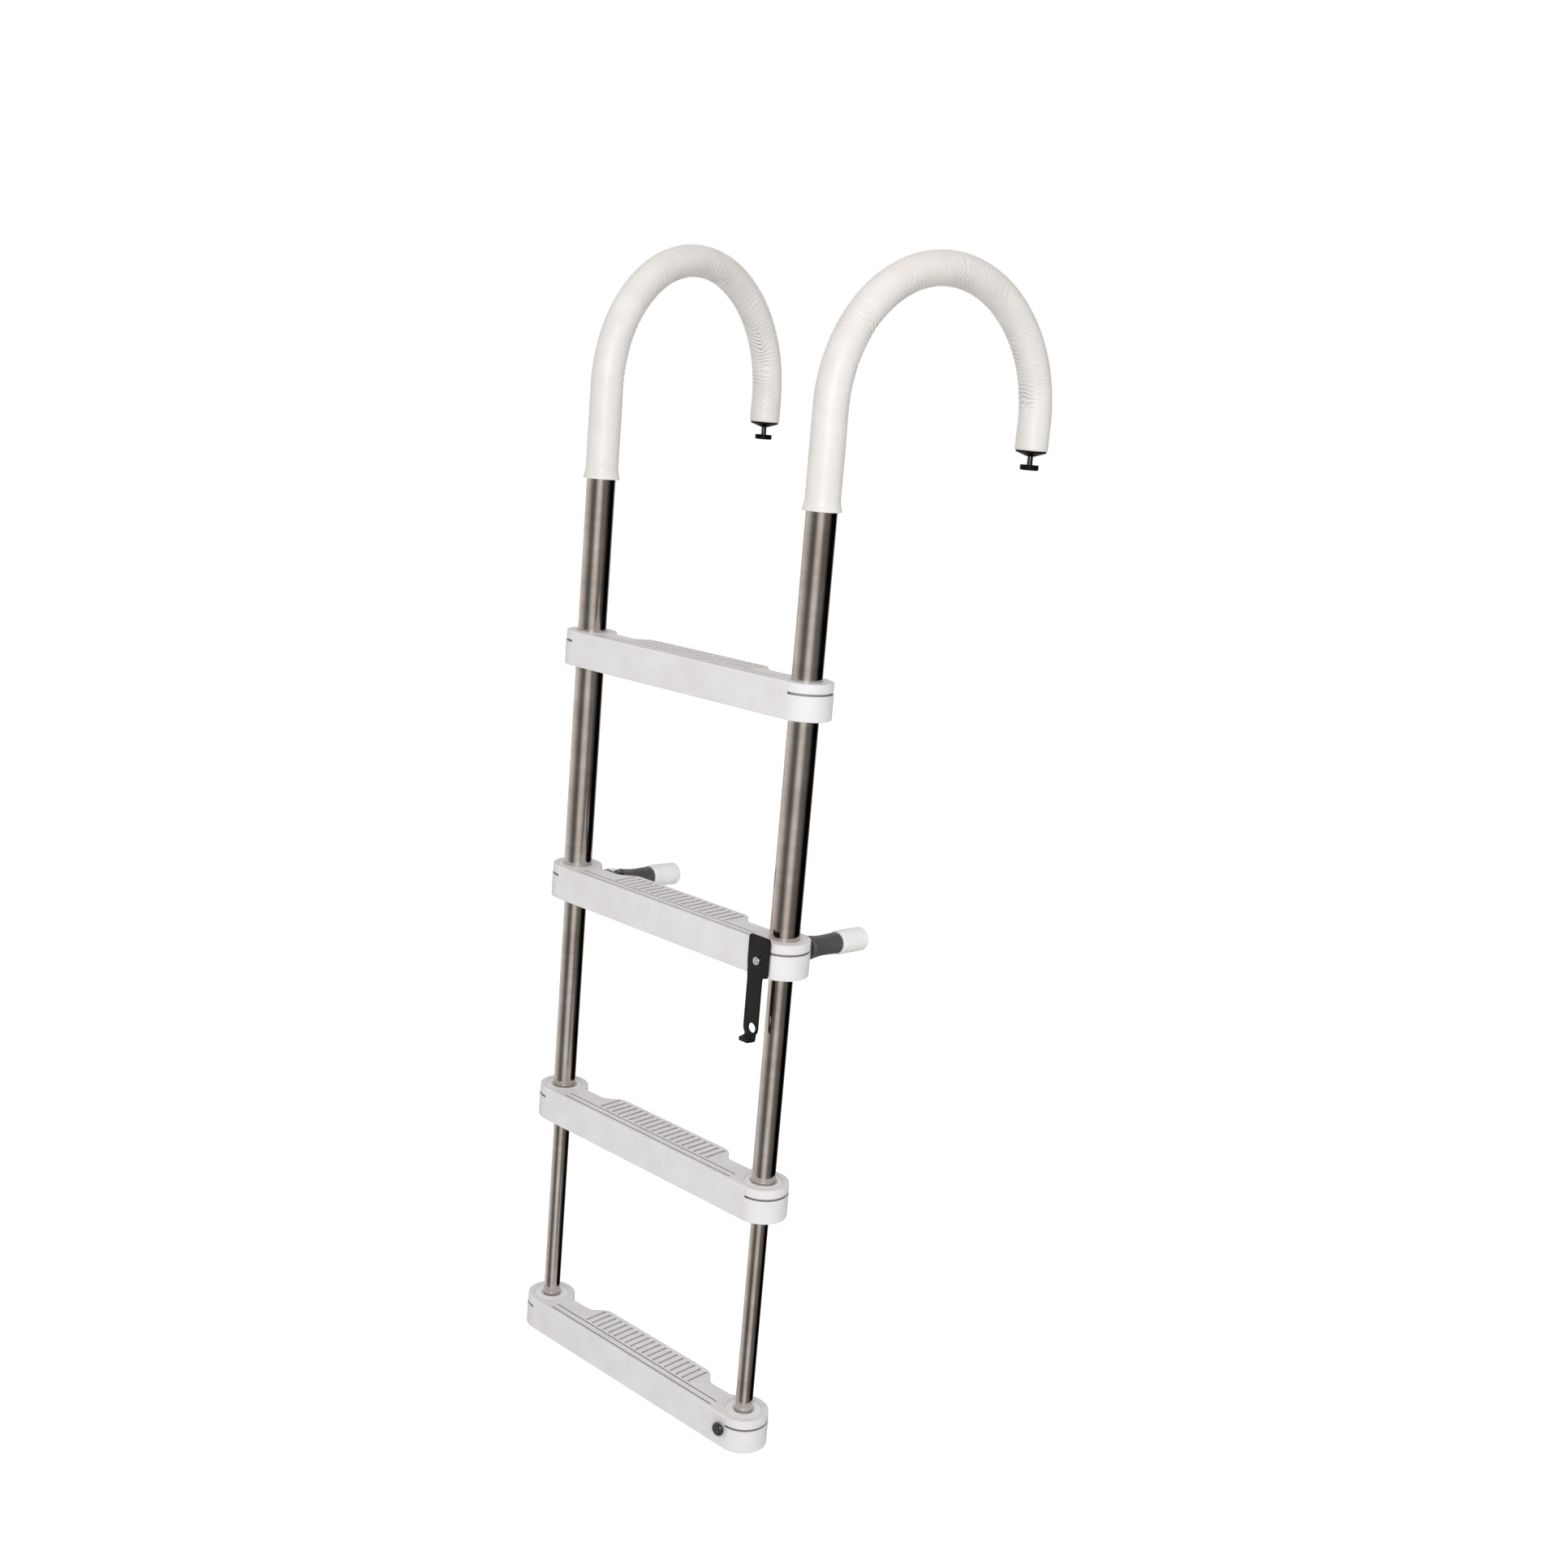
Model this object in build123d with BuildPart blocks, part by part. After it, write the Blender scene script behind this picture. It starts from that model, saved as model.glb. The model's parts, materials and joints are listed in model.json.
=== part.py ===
"""Telescoping gunwale-hook boarding ladder, in millimetres.

+Z is up, +Y points inboard over the gunwale, and +X is to starboard.
The origin lies midway between the two hooks, on the line where their crowns rest on the gunwale.
The ladder is drawn fully extended, with both standoffs out and the retaining strap hanging.
"""
from build123d import *
from math import cos, radians, sin
import os

# ---- overall layout
rail_spacing = 325.0          # between the two rail axes
step_pitch = 268.0            # from one tread to the next
first_step_drop = 392.0       # from the gunwale down to the top of step 1
hook_span = 288.0             # rail axis to hook leg axis
hook_splay = 7.0              # degrees that each hook turns outwards from straight inboard
hook_tip_z = -155.0           # lower end of the short hook leg
sleeve_end_z = -225.0         # lower end of the sleeve on the long leg

# ---- tubes: 1 1/4, 1 and 3/4 inch stainless
tube_wall = 1.2
main_radius = 31.75 / 2
middle_radius = 25.4 / 2
lower_radius = 19.05 / 2
sleeve_thickness = 1.9
sleeve_radius = main_radius + sleeve_thickness

# ---- steps
step_height = 38.0
collar_radius = 28.0
neck_y = 9.0                  # rear face of the neck beside each collar, from the rail axis
bulge_y = 25.0                # rear face of the tread
bulge_half = 86.0             # half the length of the tread's rear face
bulge_flare = 16.0            # run of the slanted ends of the bulge
bulge_round = 12.0            # corners of the bulge
shoulder_round = 6.0          # where the neck meets the collar
skin = 3.5                    # moulded wall
tread_thickness = 4.5
edge_round = 1.6
rib_pitch = 40.0              # of the ribs under the tread
rib_thickness = 4.0
pocket_round = 3.0
end_pocket_x = 110.0          # middle of the pocket between tread and collar
end_pocket_length = 44.0
front_grooves = (-22.5, -14.0)    # two long grooves, from the rail axis
front_groove_width = 1.6
tread_groove_pitch = 9.5
tread_groove_count = 19
tread_groove_y = 4.5
tread_groove_length = 30.0
tread_groove_width = 3.2
tread_groove_depth = 1.5
groove_drop = 9.5             # from the top to the groove round each rounded end
groove_height = 2.4
groove_depth = 3.0
lid_setback = 0.5             # of the rim above that groove

# ---- sliding fits and gaps
slide_play = 0.1              # radial, between a tube and its guide
body_gap = 0.3                # between parts that move past each other
stack_gap = 1.0               # between steps when the ladder is closed
cut_margin = 2.0              # how far a cut runs past the surface that it opens

# ---- guides, stops and bushings
flange_height = 3.0
guide_height = 40.0
stop_height = 12.0
rail_end_margin = 2.0
bushing_flange_radius = 20.0
bushing_lead_in = 2.6
bushing_round = 0.8
plug_spigot_height = 12.0

# ---- fasteners
screw_radius = 2.5
screw_head_radius = 4.5
screw_head_height = 2.8
screw_recess_radius = 5.0
screw_recess_depth = 3.0
screw_setback = 0.08          # screw tip stays this far inside the tube wall
cross_length = 5.0            # of the cross recess in a screw head
cross_width = 1.0
cross_depth = 1.4
strap_screw_round = 1.2

# ---- hook end fitting
plug_insert_height = 20.0
dome_depth = 3.0              # how far the plug bulges below the end of the leg
washer_radius = 16.4
washer_rim = 1.8
washer_end_radius = 4.6
washer_depth = 6.5            # from the end of the leg to the washer's narrow end
stem_radius = 3.0
stem_insert = 12.0
button_top = 15.5             # from the end of the leg to the button's upper face
button_radius = 10.0
button_height = 5.5
button_socket = 3.0
button_lower_chamfer = 0.8
button_upper_chamfer = 0.5

# ---- standoffs
standoff_x = 148.0
standoff_drop = 23.5          # below the top of step 2
pivot_y = 42.0                # from the rail axis
arm_droop = 3.0               # degrees below horizontal
bracket_half_width = 9.0
bracket_height = 24.0
tongue_height = 12.4
tongue_radius = 8.5
pin_radius = 3.0
pin_head_radius = 5.0
pin_head_height = 1.6
pin_head_round = 0.9
standoff_screw_start = 14.0   # from the rail axis
countersink_radius = 4.5
arm_neck_start = 10.5
arm_neck_radius = 12.8
arm_shoulder = 2.0            # length of the slanted start of the arm's body
arm_waist = 30.0              # where the arm is thinnest
arm_waist_radius = 11.0
arm_end = 57.0
arm_end_radius = 11.5
arm_end_chamfer = 1.0
spigot_radius = 9.0
spigot_length = 26.0
tip_end = 98.0
tip_radius = 13.0
tip_round = 2.5
tip_lip = 0.8                 # taper at the open end of the ferrule
tip_lip_length = 3.0

# ---- retaining strap and its stud
strap_x = 156.0
stud_x = 157.0
strap_thickness = 3.0
strap_head_width = 29.0
strap_head_rise = 5.0         # above the top of step 2
strap_screw_drop = 21.0
tail_thickness = 2.6
tail_gap = 0.4                # between the tail and the face behind it
tail_width = 20.0
eyelet_drop = 93.5            # from the top of step 2 to the eyelet
eyelet_radius = 4.8
strap_head_round = 3.0
tail_x = 153.5                # the tail hangs from the head's inner side
eyelet_x = 155.4
tab_width = 14.0
tab_reach = 12.0
tab_height = 6.0
tab_drop = 4.5                # of the tab below the round end of the tail
stud_neck_radius = 2.8
stud_neck_length = 3.8
stud_head_radius = 7.5
stud_head_height = 3.6
stud_head_round = 2.8
stud_shank_length = 10.0

# ---- worked out from the above
bend_radius = hook_span / 2
splay = radians(hook_splay)
rail_y = -bend_radius * cos(splay)
rail_x = rail_spacing / 2
bend_z = sleeve_radius - bend_radius
main_inner = main_radius - tube_wall
middle_inner = middle_radius - tube_wall
lower_inner = lower_radius - tube_wall
step_tops = [-first_step_drop - n * step_pitch for n in range(4)]
step_bottoms = [top - step_height for top in step_tops]
slide_travel = step_pitch - step_height - stack_gap
main_bottom = step_bottoms[1] + flange_height
middle_bottom = step_bottoms[2] + flange_height
lower_bottom = step_bottoms[3] + flange_height
middle_stop_z = step_bottoms[1] + guide_height + body_gap
lower_stop_z = step_bottoms[2] + guide_height + body_gap
middle_top = middle_stop_z + stop_height + rail_end_margin
lower_top = lower_stop_z + stop_height + rail_end_margin
front_y = rail_y - collar_radius
pivot_z = step_tops[1] - standoff_drop
slot_back = pivot_y - tongue_radius - body_gap     # of the slot in the bracket, from the rail axis
eyelet_z = step_tops[1] - eyelet_drop
stud_z = eyelet_z - 2 * slide_travel
sides = {"port": -1, "starboard": 1}

os.makedirs("parts", exist_ok=True)


def save(builder, label):
    """Label a finished piece and write its STEP file."""
    builder.part.label = label
    export_step(builder.part, f"parts/{label}.step")


def rail_plane(side, z):
    """Horizontal plane on one rail's axis."""
    return Plane(origin=(side * rail_x, rail_y, z))


def rear_plane(x, z):
    """Upright plane through the rails, facing inboard (+Y)."""
    return Plane(origin=(x, rail_y, z), x_dir=(-1, 0, 0), z_dir=(0, 1, 0))


def front_plane(x, z):
    """Upright plane on the steps' front face, facing outboard (-Y)."""
    return Plane(origin=(x, front_y, z), x_dir=(1, 0, 0), z_dir=(0, -1, 0))


def hook_plane(side):
    """Upright plane of one hook: x runs from the rail to the short leg and y is up."""
    return Plane(
        origin=(side * rail_x, rail_y, 0),
        x_dir=(side * sin(splay), cos(splay), 0),
        z_dir=(cos(splay), -side * sin(splay), 0),
    )


def hook_path(side, bottom):
    """Long leg, half-round crown and short leg of one hook."""
    with BuildLine(hook_plane(side)) as path:
        Line((0, bottom), (0, bend_z))
        CenterArc((bend_radius, bend_z), bend_radius, 180, -180)
        Line((hook_span, bend_z), (hook_span, hook_tip_z))
    return path


def ring(radius, inner):
    """Draw a ring in the open sketch."""
    Circle(radius)
    Circle(inner, mode=Mode.SUBTRACT)


def make_hook_rail(name, side):
    """Top tube of one rail, bent over into its hook."""
    path = hook_path(side, main_bottom)
    with BuildPart() as rail:
        with BuildSketch(rail_plane(side, main_bottom)):
            ring(main_radius, main_inner)
        sweep(path=path.line)
        for top in step_tops[:2]:
            with BuildSketch(rear_plane(side * rail_x, top - step_height / 2)):
                Circle(screw_radius)
            extrude(amount=main_radius, mode=Mode.SUBTRACT)
    save(rail, f"{name}_hook_rail")


def make_hook_sleeve(name, side):
    """Vinyl sleeve over the hook, so that it doesn't mark the gunwale."""
    path = hook_path(side, sleeve_end_z)
    with BuildPart() as sleeve:
        with BuildSketch(rail_plane(side, sleeve_end_z)):
            ring(sleeve_radius, main_radius)
        sweep(path=path.line)
    save(sleeve, f"{name}_hook_sleeve")


def tip_plane(side):
    """Plane along the short leg's axis, with its origin on the end of the leg."""
    along = hook_plane(side)
    return Plane(
        origin=along.from_local_coords(Vector(hook_span, hook_tip_z, 0)),
        x_dir=along.x_dir,
        z_dir=along.z_dir,
    )


def dome_point(radius):
    """Point on the plug's domed end at a given radius, below the end of the leg."""
    sphere = (sleeve_radius**2 + dome_depth**2) / (2 * dome_depth)
    return (radius, sphere - dome_depth - (sphere**2 - radius**2) ** 0.5)


def make_hook_plug(name, side):
    """White plug in the end of the short leg, with a domed end."""
    plane = tip_plane(side)
    with BuildPart() as plug:
        with BuildSketch(plane):
            with BuildLine():
                Polyline(
                    dome_point(stem_radius),
                    (stem_radius, stem_insert),
                    (0, stem_insert),
                    (0, plug_insert_height),
                    (main_inner, plug_insert_height),
                    (main_inner, 0),
                    dome_point(sleeve_radius),
                )
                ThreePointArc(
                    dome_point(sleeve_radius),
                    dome_point(sleeve_radius / 2),
                    dome_point(stem_radius),
                )
            make_face()
        revolve(axis=Axis(plane.origin, (0, 0, 1)))
    save(plug, f"{name}_hook_plug")


def make_hook_washer(name, side):
    """Black dished washer that hugs the dome and narrows to the button's stem."""
    plane = tip_plane(side)
    with BuildPart() as washer:
        with BuildSketch(plane):
            with BuildLine():
                ThreePointArc(
                    dome_point(stem_radius),
                    dome_point(washer_radius / 2),
                    dome_point(washer_radius),
                )
                Polyline(
                    dome_point(washer_radius),
                    (washer_radius, dome_point(washer_radius)[1] - washer_rim),
                    (washer_end_radius, -washer_depth),
                    (stem_radius, -washer_depth),
                    dome_point(stem_radius),
                )
            make_face()
        revolve(axis=Axis(plane.origin, (0, 0, 1)))
    save(washer, f"{name}_hook_washer")


def make_button_stem(name, side):
    """Steel stem from the plug down into the button."""
    origin = tip_plane(side).origin
    with BuildPart() as stem:
        with BuildSketch(Plane(origin).offset(-button_top - button_socket)):
            Circle(stem_radius)
        extrude(amount=button_top + button_socket + stem_insert)
    save(stem, f"{name}_button_stem")


def make_hook_button(name, side):
    """Black button that drops into a deck socket."""
    origin = tip_plane(side).origin
    with BuildPart() as button:
        with BuildSketch(Plane(origin).offset(-button_top - button_height)):
            Circle(button_radius)
        extrude(amount=button_height)
        chamfer(button.edges().group_by(Axis.Z)[0], button_lower_chamfer)
        chamfer(button.edges().group_by(Axis.Z)[-1], button_upper_chamfer)
        with BuildSketch(Plane(origin).offset(-button_top - button_socket)):
            Circle(stem_radius)
        extrude(amount=button_socket, mode=Mode.SUBTRACT)
    save(button, f"{name}_hook_button")


def step_outline():
    """Plan of a step: round collars, flat front, narrow necks and a tread that bulges inboard."""
    shoulder_x = rail_x - (collar_radius**2 - neck_y**2) ** 0.5
    with BuildSketch() as outline:
        with BuildLine():
            Line((0, -collar_radius), (rail_x, -collar_radius))
            ThreePointArc(
                (rail_x, -collar_radius),
                (rail_x + collar_radius, 0),
                (rail_x, collar_radius),
            )
            ThreePointArc(
                (rail_x, collar_radius),
                (rail_x - collar_radius * 0.8, collar_radius * 0.6),
                (shoulder_x, neck_y),
            )
            Polyline(
                (shoulder_x, neck_y),
                (bulge_half + bulge_flare, neck_y),
                (bulge_half, bulge_y),
                (0, bulge_y),
                (0, -collar_radius),
            )
        make_face()
        bulge_corners = outline.vertices().filter_by(lambda v: 1 < v.X < bulge_half + bulge_flare + 1)
        fillet(bulge_corners, bulge_round)
        shoulder = outline.vertices().filter_by(lambda v: abs(v.X - shoulder_x) < 0.1)
        fillet(shoulder, shoulder_round)
        mirror(about=Plane.YZ)
    return outline.sketch


def collar_band(radius_in, outer_only_from):
    """Ring round both collars, kept only beyond a given distance from the middle."""
    for side in sides.values():
        with Locations((side * rail_x, 0)):
            Circle(collar_radius + cut_margin)
            Circle(radius_in, mode=Mode.SUBTRACT)
    Rectangle(2 * outer_only_from, 4 * collar_radius, mode=Mode.SUBTRACT)


def make_step(number, bushed):
    """One moulded step. A bushed step has a counterbore for the flange of its bushing."""
    top = step_tops[number - 1]
    bottom = step_bottoms[number - 1]
    mid = top - step_height / 2
    middle_plane = Plane(origin=(0, rail_y, 0))
    bottom_plane = middle_plane.offset(bottom)
    top_plane = middle_plane.offset(top)
    with BuildPart() as step:
        with BuildSketch(bottom_plane):
            add(step_outline())
        extrude(amount=step_height)
        fillet(step.edges().group_by(Axis.Z)[-1], edge_round)
        fillet(step.edges().group_by(Axis.Z)[0], edge_round / 2)
        # the rim of each rounded end is set back a little, above a groove
        with BuildSketch(top_plane.offset(-groove_drop)):
            collar_band(collar_radius - groove_depth, rail_x)
        extrude(amount=-groove_height, mode=Mode.SUBTRACT)
        with BuildSketch(top_plane.offset(-groove_drop)):
            collar_band(collar_radius - lid_setback, rail_x)
        extrude(amount=groove_drop + cut_margin, mode=Mode.SUBTRACT)
        # pockets in the underside, between the ribs
        with BuildSketch(bottom_plane):
            with Locations((0, (bulge_y - collar_radius) / 2)):
                with GridLocations(rib_pitch, 0, 4, 1):
                    pocket_depth = bulge_y + collar_radius - 2 * skin
                    RectangleRounded(rib_pitch - rib_thickness, pocket_depth, pocket_round)
            with Locations((0, (neck_y - collar_radius) / 2)):
                with GridLocations(2 * end_pocket_x, 0, 2, 1):
                    pocket_depth = neck_y + collar_radius - 2 * skin
                    RectangleRounded(end_pocket_length, pocket_depth, pocket_round)
        extrude(amount=step_height - tread_thickness, mode=Mode.SUBTRACT)
        # two long grooves behind the front edge and short ones across the tread
        with BuildSketch(top_plane):
            for groove_y in front_grooves:
                with Locations((0, groove_y)):
                    SlotOverall(2 * (rail_x - collar_radius), front_groove_width)
            with Locations((0, tread_groove_y)):
                with GridLocations(tread_groove_pitch, 0, tread_groove_count, 1):
                    SlotOverall(tread_groove_length, tread_groove_width, rotation=90)
        extrude(amount=-tread_groove_depth, mode=Mode.SUBTRACT)
        # rail bores
        with BuildSketch(bottom_plane):
            for side in sides.values():
                with Locations((side * rail_x, 0)):
                    Circle(main_radius)
        extrude(amount=step_height, mode=Mode.SUBTRACT)
        if bushed:
            with BuildSketch(top_plane):
                for side in sides.values():
                    with Locations((side * rail_x, 0)):
                        Circle(bushing_flange_radius)
            extrude(amount=-flange_height, mode=Mode.SUBTRACT)
        # recessed holes for the screws that pin the step to its rails
        for side in sides.values():
            hole_plane = rear_plane(side * rail_x, mid)
            with BuildSketch(hole_plane):
                Circle(screw_radius)
            extrude(amount=collar_radius + cut_margin, mode=Mode.SUBTRACT)
            with BuildSketch(hole_plane.offset(collar_radius - screw_recess_depth)):
                Circle(screw_recess_radius)
            extrude(amount=screw_recess_depth + cut_margin, mode=Mode.SUBTRACT)
        if number == 2:
            for side in sides.values():
                with BuildSketch(rear_plane(side * standoff_x, pivot_z).offset(standoff_screw_start)):
                    Circle(screw_radius)
                extrude(amount=collar_radius, mode=Mode.SUBTRACT)
            with BuildSketch(front_plane(strap_x, top - strap_screw_drop)):
                Circle(screw_radius)
            extrude(amount=-stud_shank_length, mode=Mode.SUBTRACT)
        if number == 4:
            with BuildSketch(front_plane(stud_x, stud_z)):
                Circle(screw_radius)
            extrude(amount=-stud_shank_length, mode=Mode.SUBTRACT)
    save(step, f"step_{number}")


def make_step_screws(number, inner_radius):
    """Two pan head screws, one through the rear of each collar into the rail's wall."""
    mid = step_tops[number - 1] - step_height / 2
    seat = collar_radius - screw_recess_depth
    with BuildPart() as screws:
        for side in sides.values():
            plane = rear_plane(side * rail_x, mid)
            with BuildSketch(plane.offset(inner_radius + screw_setback)):
                Circle(screw_radius)
            extrude(amount=seat - inner_radius - screw_setback)
            with BuildSketch(plane.offset(seat)):
                Circle(screw_head_radius)
            extrude(amount=screw_head_height)
            with BuildSketch(plane.offset(seat + screw_head_height)):
                Rectangle(cross_length, cross_width)
                Rectangle(cross_width, cross_length)
            extrude(amount=-cross_depth, mode=Mode.SUBTRACT)
    save(screws, f"step_{number}_screws")


def make_straight_rail(name, side, level, radius, bottom, top, screw_z):
    """Inner tube of one rail."""
    with BuildPart() as rail:
        with BuildSketch(rail_plane(side, bottom)):
            ring(radius, radius - tube_wall)
        extrude(amount=top - bottom)
        with BuildSketch(rear_plane(side * rail_x, screw_z)):
            Circle(screw_radius)
        extrude(amount=radius, mode=Mode.SUBTRACT)
    save(rail, f"{name}_{level}_rail")


def make_guide(name, side, level, bottom, flange_radius, tube_inner, slider_radius):
    """Flanged plastic guide pressed into the lower end of the outer tube."""
    with BuildPart() as guide:
        with BuildSketch(rail_plane(side, bottom)):
            ring(flange_radius, slider_radius + slide_play)
        extrude(amount=flange_height)
        with BuildSketch(rail_plane(side, bottom + flange_height)):
            ring(tube_inner, slider_radius + slide_play)
        extrude(amount=guide_height - flange_height)
    save(guide, f"{name}_{level}_guide")


def make_stop(name, side, level, bottom, tube_inner, slider_radius):
    """Stop collar on the upper end of the inner tube. It lands on the guide at full length."""
    with BuildPart() as stop:
        with BuildSketch(rail_plane(side, bottom)):
            ring(tube_inner - slide_play, slider_radius)
        extrude(amount=stop_height)
    save(stop, f"{name}_{level}_stop")


def make_bushing(name, side, number, tube_radius, bottom):
    """Reducing bushing between a thin rail and a full size collar, with a dished top."""
    top = step_tops[number - 1]
    with BuildPart() as bushing:
        with BuildSketch(rail_plane(side, bottom)):
            ring(main_radius, tube_radius)
        extrude(amount=top - flange_height - bottom)
        with BuildSketch(rail_plane(side, top - flange_height)):
            ring(bushing_flange_radius, tube_radius)
        extrude(amount=flange_height)
        top_edges = bushing.edges().group_by(Axis.Z)[-1].sort_by(SortBy.LENGTH)
        chamfer(top_edges[0], bushing_lead_in)
        fillet(bushing.edges().group_by(Axis.Z)[-1].sort_by(SortBy.LENGTH)[-1], bushing_round)
        with BuildSketch(rear_plane(side * rail_x, top - step_height / 2)):
            Circle(screw_radius)
        extrude(amount=main_radius + cut_margin, mode=Mode.SUBTRACT)
    save(bushing, f"{name}_step_{number}_bushing")


def make_foot_plug(name, side):
    """Plug that closes the bottom of the lowest collar and the rail in it."""
    bottom = step_bottoms[3]
    with BuildPart() as plug:
        with BuildSketch(rail_plane(side, bottom)):
            Circle(main_radius)
        extrude(amount=flange_height)
        with BuildSketch(rail_plane(side, bottom + flange_height)):
            Circle(lower_inner)
        extrude(amount=plug_spigot_height)
    save(plug, f"{name}_foot_plug")


def bracket_plan(side):
    """Plan of a standoff bracket: square against the collar, round about the hinge pin."""
    with BuildSketch() as plan:
        with Locations((side * standoff_x, pivot_y / 2)):
            Rectangle(2 * bracket_half_width, pivot_y)
        with Locations((side * standoff_x, pivot_y)):
            Circle(bracket_half_width)
    return plan.sketch


def make_standoff_bracket(name, side):
    """Bracket that hugs the collar of step 2 and carries the arm between two ears."""
    base = Plane(origin=(0, rail_y, pivot_z - bracket_height / 2))
    slot_height = tongue_height + 2 * body_gap
    slot_length = 2 * (bracket_half_width + tongue_radius)
    screw_plane = rear_plane(side * standoff_x, pivot_z)
    with BuildPart() as bracket:
        with BuildSketch(base):
            add(bracket_plan(side))
        extrude(amount=bracket_height)
        with BuildSketch(base):
            add(step_outline())
        extrude(amount=bracket_height, mode=Mode.SUBTRACT)
        with BuildSketch(Plane(origin=(0, rail_y, pivot_z - slot_height / 2))):
            with Locations((side * standoff_x, slot_back + slot_length / 2)):
                Rectangle(3 * bracket_half_width, slot_length)
        extrude(amount=slot_height, mode=Mode.SUBTRACT)
        with BuildSketch(base):
            with Locations((side * standoff_x, pivot_y)):
                Circle(pin_radius)
        extrude(amount=bracket_height, mode=Mode.SUBTRACT)
        with BuildSketch(screw_plane):
            Circle(screw_radius)
        extrude(amount=slot_back + cut_margin, mode=Mode.SUBTRACT)
        with BuildSketch(screw_plane.offset(slot_back)):
            Circle(countersink_radius)
        extrude(amount=screw_radius - countersink_radius, taper=45, mode=Mode.SUBTRACT)
    save(bracket, f"{name}_standoff_bracket")


def make_standoff_screw(name, side):
    """Countersunk screw that holds the bracket on the collar."""
    plane = rear_plane(side * standoff_x, pivot_z)
    cone = countersink_radius - screw_radius
    with BuildPart() as screw:
        with BuildSketch(plane.offset(slot_back)):
            Circle(countersink_radius)
        extrude(amount=-cone, taper=45)
        with BuildSketch(plane.offset(standoff_screw_start)):
            Circle(screw_radius)
        extrude(amount=slot_back - cone - standoff_screw_start)
        with BuildSketch(plane.offset(slot_back)):
            Rectangle(cross_length, cross_width)
            Rectangle(cross_width, cross_length)
        extrude(amount=-cross_depth, mode=Mode.SUBTRACT)
    save(screw, f"{name}_standoff_screw")


def make_standoff_pin(name, side):
    """Hinge pin with a rivet head at each end."""
    bottom = Plane(origin=(side * standoff_x, rail_y + pivot_y, pivot_z - bracket_height / 2))
    with BuildPart() as pin:
        with BuildSketch(bottom):
            Circle(pin_radius)
        extrude(amount=bracket_height)
        for plane, way in ((bottom, -1), (bottom.offset(bracket_height), 1)):
            with BuildSketch(plane):
                Circle(pin_head_radius)
            extrude(amount=way * pin_head_height)
        fillet(pin.edges().group_by(Axis.Z)[-1], pin_head_round)
        fillet(pin.edges().group_by(Axis.Z)[0], pin_head_round)
    save(pin, f"{name}_standoff_pin")


def arm_plane(side):
    """Upright plane along a standoff arm: x runs out along the arm from the pin."""
    droop = radians(arm_droop)
    return Plane(
        origin=(side * standoff_x, rail_y + pivot_y, pivot_z),
        x_dir=(0, cos(droop), -sin(droop)),
        z_dir=(1, 0, 0),
    )


def make_standoff_arm(name, side):
    """Moulded arm: a tongue on the pin, a body that swells outwards and a spigot for the tip."""
    plane = arm_plane(side)
    body_start = arm_neck_start + arm_shoulder
    body_end = arm_end - arm_end_chamfer
    spigot_end = arm_end + spigot_length
    tongue_length = arm_neck_start + arm_shoulder
    with BuildPart() as arm:
        with BuildSketch(plane):
            with BuildLine():
                Polyline(
                    (arm_neck_start, 0),
                    (arm_neck_start, arm_neck_radius - arm_shoulder),
                    (body_start, arm_neck_radius),
                )
                Spline(
                    (body_start, arm_neck_radius),
                    (arm_waist, arm_waist_radius),
                    (body_end, arm_end_radius),
                    tangents=((1, -0.15), (1, 0)),
                )
                Polyline(
                    (body_end, arm_end_radius),
                    (arm_end, arm_end_radius - arm_end_chamfer),
                    (arm_end, spigot_radius),
                    (spigot_end, spigot_radius),
                    (spigot_end, 0),
                    (arm_neck_start, 0),
                )
            make_face()
        revolve(axis=Axis(plane.origin, plane.x_dir))
        base = Plane(origin=(side * standoff_x, rail_y + pivot_y, pivot_z - tongue_height / 2))
        with BuildSketch(base):
            Circle(tongue_radius)
            with Locations((0, tongue_length / 2)):
                Rectangle(1.6 * tongue_radius, tongue_length)
            Circle(pin_radius + slide_play, mode=Mode.SUBTRACT)
        extrude(amount=tongue_height)
    save(arm, f"{name}_standoff_arm")


def make_standoff_tip(name, side):
    """Rubber ferrule pushed over the arm's spigot."""
    plane = arm_plane(side)
    with BuildPart() as tip:
        with BuildSketch(plane):
            with BuildLine():
                Polyline(
                    (arm_end, spigot_radius),
                    (arm_end, tip_radius - tip_lip),
                    (arm_end + tip_lip_length, tip_radius),
                    (tip_end - tip_round, tip_radius),
                )
                RadiusArc((tip_end - tip_round, tip_radius), (tip_end, tip_radius - tip_round), tip_round)
                Polyline(
                    (tip_end, tip_radius - tip_round),
                    (tip_end, 0),
                    (arm_end + spigot_length, 0),
                    (arm_end + spigot_length, spigot_radius),
                    (arm_end, spigot_radius),
                )
            make_face()
        revolve(axis=Axis(plane.origin, plane.x_dir))
    save(tip, f"{name}_standoff_tip")


def make_strap_head():
    """Upper end of the rubber strap, screwed flat to the front of step 2."""
    top = step_tops[1] + strap_head_rise
    height = top - step_bottoms[1]
    with BuildPart() as head:
        with BuildSketch(front_plane(strap_x, top - height / 2)):
            RectangleRounded(strap_head_width, height, strap_head_round)
        extrude(amount=strap_thickness)
        with BuildSketch(front_plane(strap_x, step_tops[1] - strap_screw_drop)):
            Circle(screw_radius)
        extrude(amount=strap_thickness, mode=Mode.SUBTRACT)
    save(head, "strap_head")


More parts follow.
